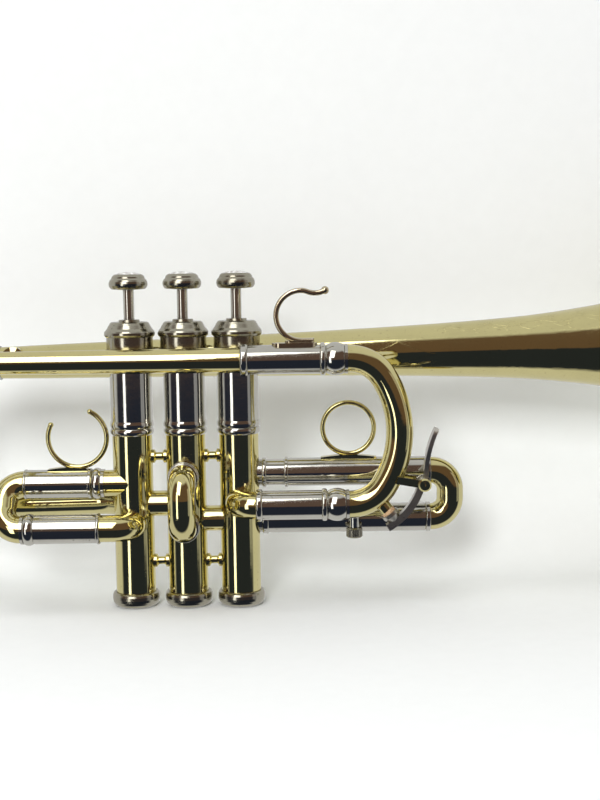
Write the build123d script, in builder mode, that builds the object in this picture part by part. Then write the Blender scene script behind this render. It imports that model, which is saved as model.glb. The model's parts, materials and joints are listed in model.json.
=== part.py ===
"""A soprano trumpet with three piston valves, made as separate pieces in playing attitude.

Millimetres. +X runs along the bell towards its rim, +Z runs up along the pistons and +Y is the
player's left. The origin is on the second valve's axis, where the left hand wraps the valves.
"""
import os

from build123d import *

os.makedirs("parts", exist_ok=True)

# ---------------------------------------------------------------- driving dimensions
# Valve block
VALVE_PITCH = 24.8
VALVE_XS = (-VALVE_PITCH, 0, VALVE_PITCH)
CASING_OD = 18.6
CASING_BOTTOM = -45.3
CASING_SEAM = 37.0
BALUSTER_TOP = 79.0
BALUSTER_OD = 19.4
BALUSTER_BORE = 17.8
PISTON_OD = 16.8
PISTON_TRAVEL = 13.0
RUNNING_GAP = 0.05
CLEARANCE = 0.3
STEM_D = 5.0

# Tubing: the bore, the thin inner slide tubes and the outer tubes that they run in
BORE_D = 11.4
TUBE_OD = 12.4
SLIDE_BORE = TUBE_OD + 2 * RUNNING_GAP
SLIDE_OD = 13.3
RING_OD = 14.8
SLIM_RING_OD = 14.2

# Height and side of the long runs
TOP_Z = 68.8
LEAD_Y = -17.0
BELL_Z = 69.8
BELL_TILT, BELL_PIVOT_X = 0.88, 127.0
BELL_Y = 20.0

# Air ports in the valve casings
TAIL_Z = 1.0
CROSSOVER_12_Z = 0.9
CROSSOVER_23_Z = -6.5
TUNING_PORT_Z = 2.2
FIRST_UPPER_Z, FIRST_LOWER_Z = 11.2, -7.6
FIRST_UPPER_Y = -3.0
SECOND_UPPER_Z, SECOND_LOWER_Z = 15.6, -7.4
THIRD_UPPER_Z, THIRD_LOWER_Z = 14.5, -7.5
THIRD_Y = 2.0

# Bell: distance along the instrument and outer radius, from the bow to the rim
BELL_START_X = -94.0
BELL_JOINT_X = 166.0
BELL_WALL = 0.6
BELL_OUTLINE = (
    (BELL_START_X, 7.4), (28.0, 9.85), (114.7, 12.45), (147.4, 14.1), (BELL_JOINT_X, 15.55),
    (190.0, 18.5), (215.0, 22.6), (235.0, 26.9), (255.0, 33.4), (270.0, 41.6), (280.0, 51.3), (285.0, 60.0),
)

LEFT, RIGHT, FRONT, BACK, UP, DOWN = (-1, 0, 0), (1, 0, 0), (0, -1, 0), (0, 1, 0), (0, 0, 1), (0, 0, -1)


# ---------------------------------------------------------------- shared shapes
def finish(piece, label):
    """Label a finished piece and write it to its own file."""
    piece.part.label = label
    export_step(piece.part, f"parts/{label}.step")


def tube_along(path, outer_d, inner_d):
    """A round tube along a path of straight runs and tangent arcs. An inner_d of 0 makes it solid."""
    with BuildPart() as tube:
        with BuildSketch(Plane(origin=path @ 0, z_dir=path % 0)):
            Circle(outer_d / 2)
            if inner_d:
                Circle(inner_d / 2, mode=Mode.SUBTRACT)
        sweep(path=path)
    return tube.part


def straight_tube(start, direction, length, outer_d, inner_d):
    """A straight round tube. An inner_d of 0 makes it solid."""
    with BuildPart() as tube:
        with BuildSketch(Plane(origin=start, z_dir=direction)):
            Circle(outer_d / 2)
            if inner_d:
                Circle(inner_d / 2, mode=Mode.SUBTRACT)
        extrude(amount=length)
    return tube.part


def turning_plane(start, direction):
    """A plane through a turning axis: its x runs along the axis and its y measures the radius."""
    along = Vector(direction)
    across = Vector(0, 1, 0) if abs(along.Z) > 0.9 else Vector(0, 0, 1)
    return Plane(origin=start, x_dir=along, z_dir=along.cross(across))


def turned(start, direction, outline):
    """A solid of revolution from (distance along the axis, radius) corners."""
    plane = turning_plane(start, direction)
    with BuildPart() as solid:
        with BuildSketch(plane):
            with BuildLine():
                Polyline(*outline, close=True)
            make_face()
        revolve(axis=Axis(start, direction))
    return solid.part


def ring(start, direction, width, outer_d, bore_d):
    """A ring with a rounded outer edge."""
    height = (outer_d - bore_d) / 2
    with BuildPart() as solid:
        with BuildSketch(turning_plane(start, direction)) as section:
            with Locations((width / 2, (outer_d + bore_d) / 4)):
                Rectangle(width, height)
            fillet(section.vertices().group_by(Axis.Y)[-1], min(0.42 * width, 0.8 * height))
        revolve(axis=Axis(start, direction))
    return solid.part


COLLAR_W = 1.3


def bulb(start, direction, length, outer_d, bore_d):
    """A ferrule: a ball that rises from the tube, then a short collar."""
    neck_r = bore_d / 2 + 0.15
    collar_r = bore_d / 2 + 0.5
    ball = length - COLLAR_W
    with BuildPart() as solid:
        with BuildSketch(turning_plane(start, direction)):
            with BuildLine():
                Polyline((ball, neck_r), (ball, collar_r), (length, collar_r), (length, bore_d / 2),
                         (0, bore_d / 2), (0, neck_r))
                ThreePointArc((0, neck_r), (ball / 2, outer_d / 2), (ball, neck_r))
            make_face()
        revolve(axis=Axis(start, direction))
    return solid.part


def bead(start, direction, width, outer_d, bore_d):
    """A half-round bead around a tube."""
    with BuildPart() as solid:
        with BuildSketch(turning_plane(start, direction)):
            with BuildLine():
                Polyline((width, bore_d / 2 + 0.1), (width, bore_d / 2), (0, bore_d / 2), (0, bore_d / 2 + 0.1))
                ThreePointArc((0, bore_d / 2 + 0.1), (width / 2, outer_d / 2), (width, bore_d / 2 + 0.1))
            make_face()
        revolve(axis=Axis(start, direction))
    return solid.part


def bow_path(start, out, across, steps):
    """A flat path from start: runs are lengths and turns are (radius, degrees) towards across."""
    out, across = Vector(out), Vector(across)
    plane = Plane(origin=start, x_dir=out, z_dir=out.cross(across))
    with BuildLine(plane) as path:
        point, heading = Vector(start), out
        for step in steps:
            if isinstance(step, tuple):
                piece = JernArc(point, heading, *step)
            else:
                piece = Line(point, point + heading * step)
            point, heading = piece @ 1, piece % 1
    return path.wire()


def flat_bow(start, out, far, radius, run):
    """The path of a U-shaped bow from start to the leg at far: two quarter turns and a short straight."""
    across = Vector(far) - Vector(start)
    middle = across.length - 2 * radius
    return bow_path(start, out, across.normalized(), (run, (radius, 90), middle, (radius, 90), run))


def valve_core(x, diameter):
    """A solid round bar on one valve's axis, over the valve's full height."""
    return straight_tube((x, 0, CASING_BOTTOM - 10), UP, 150, diameter, 0)


def eye_foot(x_low, x_high, y, tube_z, rise, width):
    """The leaf foot of a finger loop: thin, arched above and wrapped on a slide tube below."""
    tube_r = SLIDE_OD / 2
    with BuildPart() as foot:
        with BuildSketch(Plane(origin=(0, y, tube_z + tube_r), x_dir=RIGHT, z_dir=FRONT)):
            with BuildLine():
                Polyline((x_high, 0.3), (x_high, -1.4), (x_low, -1.4), (x_low, 0.3))
                ThreePointArc((x_low, 0.3), ((x_low + x_high) / 2, rise), (x_high, 0.3))
            make_face()
        extrude(amount=width / 2, both=True)
        add(straight_tube((x_low - 5, y, tube_z), RIGHT, x_high - x_low + 10, SLIDE_OD, 0), mode=Mode.SUBTRACT)
    return foot.part


# ---------------------------------------------------------------- bell
bell_direction = Vector(1, 0, 0).rotate(Axis.Y, -BELL_TILT)
bell_origin = Vector(BELL_PIVOT_X, BELL_Y, BELL_Z) - bell_direction * BELL_PIVOT_X
bell_start = bell_origin + bell_direction * BELL_START_X
bell_axis = Axis(bell_origin, bell_direction)
bell_plane = Plane(origin=bell_origin, x_dir=bell_direction, z_dir=FRONT)
bell_curve = Spline(*BELL_OUTLINE)
INNER_SAMPLES = 24
with BuildPart() as bell_blank:
    with BuildSketch(bell_plane):
        with BuildLine():
            outer_line = Spline(*BELL_OUTLINE)
            inner_points = []
            for i in range(INNER_SAMPLES + 1):
                inward = (bell_curve % (i / INNER_SAMPLES)).rotate(Axis.Z, -90)
                point = (bell_curve @ (i / INNER_SAMPLES)) + inward * BELL_WALL
                inner_points.append((point.X, point.Y))
            inner_line = Spline(*inner_points)
            Line(outer_line @ 0, inner_line @ 0)
            Line(outer_line @ 1, inner_line @ 1)
        make_face()
    revolve(axis=bell_axis)

with BuildPart() as bell_flare:
    add(bell_blank.part)
    split(bisect_by=Plane.YZ.offset(BELL_JOINT_X), keep=Keep.TOP)
finish(bell_flare, "bell_flare")

with BuildPart() as bell_stem:
    add(bell_blank.part)
    split(bisect_by=Plane.YZ.offset(BELL_JOINT_X), keep=Keep.BOTTOM)
finish(bell_stem, "bell_stem")

RIM_WIRE_D = 2.6
with BuildPart() as bell_rim_wire:
    rim_x, rim_r = BELL_OUTLINE[-1]
    with BuildSketch(bell_plane):
        with Locations((rim_x - 0.4, rim_r)):
            Circle(RIM_WIRE_D / 2)
    revolve(axis=bell_axis)
    add(bell_blank.part, mode=Mode.SUBTRACT)
finish(bell_rim_wire, "bell_rim_wire")

# The bell bow drops and leans in, from the bell's axis to the tail tube beside the first valve
TAIL_Y = 8.0
tail_corner = Vector(VALVE_XS[0] - 14.0, TAIL_Y, TAIL_Z)
tail_start = tail_corner - bell_direction * (tail_corner - bell_start).dot(bell_direction)
bell_drop = tail_start - bell_start
with BuildPart() as bell_bow:
    bell_bow_path = bow_path(
        bell_start, -bell_direction, bell_drop.normalized(), ((bell_drop.length / 2, 180),))
    start_od = 2 * BELL_OUTLINE[0][1]
    with BuildSketch(Plane(origin=bell_bow_path @ 0, z_dir=bell_bow_path % 0)) as wide_end:
        Circle(start_od / 2)
        Circle(start_od / 2 - BELL_WALL, mode=Mode.SUBTRACT)
    with BuildSketch(Plane(origin=bell_bow_path @ 1, z_dir=bell_bow_path % 1)) as narrow_end:
        Circle(TUBE_OD / 2)
        Circle(BORE_D / 2, mode=Mode.SUBTRACT)
    sweep([wide_end.sketch, narrow_end.sketch], path=bell_bow_path, multisection=True)
finish(bell_bow, "bell_bow")

with BuildLine() as tail_line:
    FilletPolyline(tail_start, tail_corner, (VALVE_XS[0], 0, TAIL_Z), radius=20)
with BuildPart() as bell_tail:
    add(tube_along(tail_line.wire(), TUBE_OD, BORE_D))
    add(valve_core(VALVE_XS[0], CASING_OD), mode=Mode.SUBTRACT)
finish(bell_tail, "bell_tail")

# ---------------------------------------------------------------- leadpipe
RECEIVER_X = -154.0
RECEIVER_LENGTH = 36.0
RECEIVER_BORE_R = 4.8
RECEIVER_BORE_DEPTH = 22.0
LEADPIPE_START_D, LEADPIPE_END_D = 9.9, 11.8
LEADPIPE_WALL = 0.55
LEADPIPE_END_X = 27.0
leadpipe_start_x = RECEIVER_X + RECEIVER_BORE_DEPTH + 0.5
socket_r = LEADPIPE_START_D / 2 + 2 * RUNNING_GAP
with BuildPart() as mouthpiece_receiver:
    add(turned((RECEIVER_X, LEAD_Y, TOP_Z), RIGHT, (
        (0, RECEIVER_BORE_R), (0, 6.6), (0.6, 7.0), (4.0, 7.0), (5.0, 6.4), (8.0, 6.3),
        (RECEIVER_LENGTH - 3.0, 6.3), (RECEIVER_LENGTH - 2.4, 6.8), (RECEIVER_LENGTH - 0.6, 6.8),
        (RECEIVER_LENGTH, 6.2), (RECEIVER_LENGTH, socket_r), (RECEIVER_BORE_DEPTH, socket_r),
        (RECEIVER_BORE_DEPTH, RECEIVER_BORE_R))))
finish(mouthpiece_receiver, "mouthpiece_receiver")

leadpipe_length = LEADPIPE_END_X + 3.0 - leadpipe_start_x
with BuildPart() as leadpipe:
    add(turned((leadpipe_start_x, LEAD_Y, TOP_Z), RIGHT, (
        (0, LEADPIPE_START_D / 2), (leadpipe_length, LEADPIPE_END_D / 2),
        (leadpipe_length, LEADPIPE_END_D / 2 - LEADPIPE_WALL), (0, LEADPIPE_START_D / 2 - LEADPIPE_WALL))))
finish(leadpipe, "leadpipe")

# ---------------------------------------------------------------- tuning slide, fixed side
TUNING_UPPER_X, TUNING_LOWER_X = 30.5, 36.0
TUNING_MOUTH_X = 63.0
TUNING_RING_W = 2.5
with BuildPart() as tuning_outer_tubes:
    for start_x, z in ((TUNING_UPPER_X, TOP_Z), (TUNING_LOWER_X, TUNING_PORT_Z)):
        add(straight_tube((start_x, LEAD_Y, z), RIGHT, TUNING_MOUTH_X - start_x, SLIDE_OD, SLIDE_BORE))
finish(tuning_outer_tubes, "tuning_outer_tubes")

elbow_r = abs(LEAD_Y) - CASING_OD / 2
with BuildPart() as tuning_elbow:
    add(tube_along(
        bow_path((VALVE_XS[2], -4, TUNING_PORT_Z), FRONT, RIGHT,
                 (CASING_OD / 2 - 4, (elbow_r, 90), TUNING_LOWER_X - VALVE_XS[2] - elbow_r)), TUBE_OD, BORE_D))
    add(valve_core(VALVE_XS[2], CASING_OD), mode=Mode.SUBTRACT)
finish(tuning_elbow, "tuning_elbow")

# ---------------------------------------------------------------- first, second and third slides, fixed side
FIRST_LEG_Y = -16.6
FIRST_MOUTH_X = -43.7
FIRST_INNER_END_X = -70.0
FIRST_OUTER_END_X = -68.3
FIRST_LOWER_START_X = -40.0
first_elbow_r = abs(FIRST_LEG_Y) - CASING_OD / 2
with BuildPart() as first_fixed_tubes:
    add(straight_tube((VALVE_XS[0], FIRST_UPPER_Y, FIRST_UPPER_Z), LEFT,
                      VALVE_XS[0] - FIRST_INNER_END_X, TUBE_OD, BORE_D))
    add(tube_along(
        bow_path((VALVE_XS[0], -4, FIRST_LOWER_Z), FRONT, LEFT,
                 (CASING_OD / 2 - 4, (first_elbow_r, 90),
                  VALVE_XS[0] - FIRST_LOWER_START_X - first_elbow_r)), TUBE_OD, BORE_D))
    add(valve_core(VALVE_XS[0], CASING_OD), mode=Mode.SUBTRACT)
finish(first_fixed_tubes, "first_fixed_tubes")

SECOND_MOUTH_Y = -16.6
SECOND_RING_W = 1.5
with BuildPart() as second_fixed_tubes:
    for z in (SECOND_UPPER_Z, SECOND_LOWER_Z):
        add(straight_tube((0, 0, z), FRONT, -SECOND_MOUTH_Y, SLIDE_OD, SLIDE_BORE))
    add(valve_core(0, CASING_OD), mode=Mode.SUBTRACT)
finish(second_fixed_tubes, "second_fixed_tubes")

THIRD_INNER_END_X = 109.4
THIRD_LOWER_START_X = 38.2
THIRD_OUTER_END_X = 111.5
LOCK_SCREW_X, LOCK_SCREW_Y = 78.0, -7.9
LOCK_BOSS_LOW_Z = -10.2
LOCK_BOSS_H = 4.6
LOCK_SHANK_D, LOCK_BOSS_D = 2.4, 4.8
with BuildPart() as third_fixed_tubes:
    add(straight_tube((VALVE_XS[2], THIRD_Y, THIRD_UPPER_Z), RIGHT,
                      THIRD_INNER_END_X - VALVE_XS[2], TUBE_OD, BORE_D))
    add(straight_tube((VALVE_XS[2], THIRD_Y, THIRD_LOWER_Z), RIGHT,
                      THIRD_LOWER_START_X - VALVE_XS[2], TUBE_OD, BORE_D))
    add(valve_core(VALVE_XS[2], CASING_OD), mode=Mode.SUBTRACT)
    add(straight_tube((THIRD_LOWER_START_X, THIRD_Y, THIRD_LOWER_Z), RIGHT,
                      THIRD_OUTER_END_X - THIRD_LOWER_START_X, SLIDE_OD, SLIDE_BORE))
with BuildPart() as lock_boss:
    with BuildSketch(Plane(origin=(LOCK_SCREW_X, LOCK_SCREW_Y, LOCK_BOSS_LOW_Z))):
        Circle(LOCK_BOSS_D / 2)
        with Locations((0, 3.0)):
            Rectangle(LOCK_BOSS_D, 6.0)
        Circle(LOCK_SHANK_D / 2 + RUNNING_GAP, mode=Mode.SUBTRACT)
    extrude(amount=LOCK_BOSS_H)
    add(straight_tube((LOCK_SCREW_X - 10, THIRD_Y, THIRD_LOWER_Z), RIGHT, 20, SLIDE_OD, 0), mode=Mode.SUBTRACT)
with BuildPart() as third_fixed_node:
    add(third_fixed_tubes.part)
    add(lock_boss.part)
finish(third_fixed_node, "third_fixed_tubes")

# ---------------------------------------------------------------- rings, ferrules and one sleeve soldered to the body
with BuildPart() as fixed_rings:
    add(ring((LEADPIPE_END_X, LEAD_Y, TOP_Z), RIGHT, 3.5, RING_OD, LEADPIPE_END_D))
    add(ring((TUNING_MOUTH_X, LEAD_Y, TOP_Z), RIGHT, TUNING_RING_W, RING_OD, SLIDE_BORE))
    add(ring((TUNING_LOWER_X - 3.0, LEAD_Y, TUNING_PORT_Z), RIGHT, 3.0, RING_OD, TUBE_OD))
    add(ring((TUNING_MOUTH_X, LEAD_Y, TUNING_PORT_Z), RIGHT, TUNING_RING_W, RING_OD, SLIDE_BORE))
    add(bulb((FIRST_MOUTH_X + 0.3, FIRST_UPPER_Y, FIRST_UPPER_Z), RIGHT, 5.6, RING_OD - 0.2, TUBE_OD))
    add(ring((FIRST_LOWER_START_X, FIRST_LEG_Y, FIRST_LOWER_Z), RIGHT, 1.6, RING_OD - 0.6, TUBE_OD))
    add(straight_tube((FIRST_LOWER_START_X, FIRST_LEG_Y, FIRST_LOWER_Z), LEFT,
                      FIRST_LOWER_START_X - FIRST_OUTER_END_X, SLIDE_OD, SLIDE_BORE))
    for z in (SECOND_UPPER_Z, SECOND_LOWER_Z):
        add(ring((0, SECOND_MOUTH_Y, z), FRONT, SECOND_RING_W, RING_OD - 0.4, SLIDE_BORE))
    add(ring((35.5, THIRD_Y, THIRD_UPPER_Z), RIGHT, 1.9, SLIM_RING_OD, TUBE_OD))
    add(ring((35.3, THIRD_Y, THIRD_LOWER_Z), RIGHT, 2.9, SLIM_RING_OD, TUBE_OD))
    add(ring(bell_start, bell_direction, 5.0, 16.4, start_od + 0.3))
    add(ring(tail_start, bell_direction, 5.0, 14.0, TUBE_OD))
finish(fixed_rings, "fixed_rings")

# ---------------------------------------------------------------- valve block, fixed side
# Each port is (side offset, height, direction) from its valve's axis
TAIL_PORT_DIRECTION = (-14.0, TAIL_Y, 0)
PORTS = (
    ((FIRST_UPPER_Y, FIRST_UPPER_Z, LEFT), (0, TAIL_Z, TAIL_PORT_DIRECTION),
     (0, FIRST_LOWER_Z, FRONT), (0, CROSSOVER_12_Z, RIGHT)),
    ((0, CROSSOVER_12_Z, LEFT), (0, CROSSOVER_23_Z, RIGHT),
     (0, SECOND_UPPER_Z, FRONT), (0, SECOND_LOWER_Z, FRONT)),
    ((0, CROSSOVER_23_Z, LEFT), (THIRD_Y, THIRD_UPPER_Z, RIGHT),
     (THIRD_Y, THIRD_LOWER_Z, RIGHT), (0, TUNING_PORT_Z, FRONT)),
)
for number, (x, ports) in enumerate(zip(VALVE_XS, PORTS), start=1):
    with BuildPart() as valve_casing:
        add(straight_tube((x, 0, CASING_BOTTOM), UP, CASING_SEAM - CASING_BOTTOM, CASING_OD,
                          PISTON_OD + 2 * RUNNING_GAP))
        for offset_y, z, direction in ports:
            add(straight_tube((x, offset_y, z), direction, CASING_OD * 0.6, BORE_D, 0), mode=Mode.SUBTRACT)
    finish(valve_casing, f"valve_casing_{number}")

BEAD_W = 3.4
BEAD_OD = 20.2
with BuildPart() as valve_balusters:
    for x in VALVE_XS:
        add(straight_tube((x, 0, CASING_SEAM), UP, BALUSTER_TOP - CASING_SEAM, BALUSTER_OD, BALUSTER_BORE))
        add(bead((x, 0, CASING_SEAM - BEAD_W), UP, BEAD_W, BEAD_OD, CASING_OD))
        add(bead((x, 0, CASING_SEAM + 0.1), UP, BEAD_W - 0.4, BEAD_OD, BALUSTER_OD))
finish(valve_balusters, "valve_balusters")

CAP_SKIRT_Z = 73.0
CAP_TOP_Z = 86.0
CAP_INNER_Z = 82.0
STEM_HOLE_R = STEM_D / 2 + CLEARANCE
with BuildPart() as top_valve_caps:
    for x in VALVE_XS:
        add(turned((x, 0, 0), UP, (
            (CAP_SKIRT_Z, BALUSTER_OD / 2 + RUNNING_GAP), (CAP_SKIRT_Z, 10.6), (CAP_SKIRT_Z + 0.4, 10.8),
            (79.0, 10.8), (79.4, 11.4), (80.1, 11.7), (81.2, 11.7), (81.9, 11.3), (83.0, 10.4),
            (84.6, 9.5), (85.6, 8.9), (CAP_TOP_Z, 8.3), (CAP_TOP_Z, 4.9), (87.0, 4.7), (87.0, STEM_HOLE_R),
            (CAP_INNER_Z, STEM_HOLE_R), (CAP_INNER_Z, 8.2), (BALUSTER_TOP + 0.2, BALUSTER_OD / 2 + RUNNING_GAP))))
finish(top_valve_caps, "top_valve_caps")

BOTTOM_CAP_RIM_Z = -40.6
BOTTOM_CAP_LOW_Z = -47.3
BOTTOM_CAP_FLOOR_Z = -45.6
with BuildPart() as bottom_valve_caps:
    for x in VALVE_XS:
        add(turned((x, 0, 0), UP, (
            (BOTTOM_CAP_RIM_Z, CASING_OD / 2 + RUNNING_GAP), (BOTTOM_CAP_RIM_Z, 10.1), (-41.1, 10.7), (-42.0, 11.0),
            (-43.4, 11.1), (-44.6, 11.0), (-45.7, 10.6), (-46.6, 9.9), (-47.1, 9.0), (BOTTOM_CAP_LOW_Z, 8.0),
            (BOTTOM_CAP_LOW_Z, 2.4), (BOTTOM_CAP_FLOOR_Z, 2.4),
            (BOTTOM_CAP_FLOOR_Z, CASING_OD / 2 + RUNNING_GAP))))
finish(bottom_valve_caps, "bottom_valve_caps")

with BuildPart() as crossover_tubes:
    for x, z in ((VALVE_XS[0], CROSSOVER_12_Z), (VALVE_XS[1], CROSSOVER_23_Z)):
        add(straight_tube((x, 0, z), RIGHT, VALVE_PITCH, TUBE_OD - 0.4, BORE_D))
    for x in VALVE_XS:
        add(valve_core(x, CASING_OD), mode=Mode.SUBTRACT)
finish(crossover_tubes, "crossover_tubes")

POST_ZS = (23.2, -26.3)
POST_D, POST_FOOT_D = 3.8, 6.4
post_gap = VALVE_PITCH - CASING_OD
with BuildPart() as valve_braces:
    for x in VALVE_XS[:2]:
        for z in POST_ZS:
            add(turned((x + CASING_OD / 2 - 0.6, 0, z), RIGHT, (
                (0, 0), (0, POST_FOOT_D / 2), (1.5, POST_FOOT_D / 2), (2.4, POST_D / 2),
                (post_gap - 1.2, POST_D / 2), (post_gap - 0.3, POST_FOOT_D / 2),
                (post_gap + 1.2, POST_FOOT_D / 2), (post_gap + 1.2, 0))))
    for x in VALVE_XS:
        add(valve_core(x, CASING_OD), mode=Mode.SUBTRACT)
finish(valve_braces, "valve_braces")

# The guide is keyed in the casing: its two arms rest on the ledge at the seam and pass through the piston's slots
GUIDE_Z = CASING_SEAM + 0.05
GUIDE_T = 2.0
GUIDE_D = 13.4
GUIDE_ARM_W = 4.0
with BuildPart() as valve_guides:
    for x in VALVE_XS:
        with BuildSketch(Plane(origin=(x, 0, GUIDE_Z))):
            Circle(GUIDE_D / 2)
            Rectangle(GUIDE_ARM_W, BALUSTER_BORE - 0.6)
            Circle(2.0, mode=Mode.SUBTRACT)
        extrude(amount=GUIDE_T)
finish(valve_guides, "valve_guides")

# ---------------------------------------------------------------- pinky hook and bell braces
HOOK_X = 54.8
HOOK_Z = 88.4
HOOK_R = 11.3
HOOK_T, HOOK_W = 2.4, 3.4
HOOK_PAD_END_X = 60.5
hook_plane = Plane(origin=(0, LEAD_Y, 0), x_dir=RIGHT, z_dir=FRONT)
with BuildPart() as hook_bar:
    with BuildSketch(hook_plane):
        with BuildLine():
            Line((HOOK_PAD_END_X, HOOK_Z - HOOK_R), (HOOK_X, HOOK_Z - HOOK_R))
            CenterArc((HOOK_X, HOOK_Z), HOOK_R, 270, -180)
            crest = JernArc((HOOK_X, HOOK_Z + HOOK_R), (1, 0), 8.0, -22)
            lip = JernArc(crest @ 1, crest % 1, 9.0, 52)
        trace(line_width=HOOK_T)
    extrude(amount=HOOK_W / 2, both=True)
    fillet(hook_bar.faces().filter_by(Axis.Y).edges(), 0.95)
with BuildPart() as pinky_hook:
    add(hook_bar.part)
    with Locations(Vector((lip @ 1).X, LEAD_Y, (lip @ 1).Y)):
        Sphere(1.8)
    with BuildSketch(Plane(origin=(51.7, LEAD_Y, TOP_Z + SLIDE_OD / 2 - 1.6))):
        SlotOverall(20.6, 8.0)
    extrude(amount=2.4)
    with BuildSketch(Plane(origin=(54.0, LEAD_Y, TOP_Z + SLIDE_OD / 2))):
        SlotOverall(13.2, 4.6)
    extrude(amount=1.7)
    add(straight_tube((30, LEAD_Y, TOP_Z), RIGHT, 50, SLIDE_OD, 0), mode=Mode.SUBTRACT)
finish(pinky_hook, "pinky_hook")

DIAMOND_X, DIAMOND_Z = 100.0, 68.7
DIAMOND_HALF_X, DIAMOND_HALF_Z = 17.5, 5.7
DIAMOND_SHELL_R = 13.2
BRACE_D = 3.8
with BuildPart() as bell_filled:
    add(bell_stem.part)
    add(straight_tube(bell_origin + bell_direction * 60, bell_direction, 80, 19.0, 0))
with BuildLine() as arm_line:
    FilletPolyline((DIAMOND_X, 10.0, DIAMOND_Z), (90.0, -2.0, DIAMOND_Z), (66.0, -3.4, DIAMOND_Z),
                   (55.0, -14.0, DIAMOND_Z), radius=[8, 7])
with BuildPart() as front_bell_brace:
    with BuildSketch(Plane(origin=(DIAMOND_X, BELL_Y, DIAMOND_Z), x_dir=RIGHT, z_dir=FRONT)):
        with BuildLine():
            for side_x, side_z in ((-1, 1), (1, 1), (1, -1), (-1, -1)):
                tip, corner = (side_x * DIAMOND_HALF_X, 0), (0, side_z * DIAMOND_HALF_Z)
                ThreePointArc(tip, (side_x * DIAMOND_HALF_X / 2, side_z * (DIAMOND_HALF_Z / 2 - 0.9)), corner)
        make_face()
    extrude(amount=DIAMOND_SHELL_R + 5)
    add(straight_tube(bell_origin + bell_direction * (DIAMOND_X - 20), bell_direction, 40, 2 * DIAMOND_SHELL_R, 0),
        mode=Mode.INTERSECT)
    add(tube_along(arm_line.wire(), BRACE_D, 0))
    add(straight_tube((30, LEAD_Y, TOP_Z), RIGHT, 33, SLIDE_OD, 0), mode=Mode.SUBTRACT)
    add(bell_filled.part, mode=Mode.SUBTRACT)
finish(front_bell_brace, "front_bell_brace")

REAR_BRACE_X = -82.0
with BuildPart() as rear_bell_brace:
    add(turned((REAR_BRACE_X, LEAD_Y, TOP_Z), BACK, (
        (3.0, 0), (3.0, 5.0), (6.0, 5.0), (7.5, 2.2), (17.0, 1.9), (17.4, 2.7), (19.2, 2.7), (19.6, 1.9),
        (27.6, 2.2), (29.2, 5.6), (32.5, 5.6), (32.5, 0))))
    add(straight_tube((REAR_BRACE_X - 10, LEAD_Y, TOP_Z), RIGHT, 20, 10.6, 0), mode=Mode.SUBTRACT)
    add(straight_tube(bell_origin + bell_direction * (REAR_BRACE_X - 10), bell_direction, 20, 15.8, 0),
        mode=Mode.SUBTRACT)
finish(rear_bell_brace, "rear_bell_brace")

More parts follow.
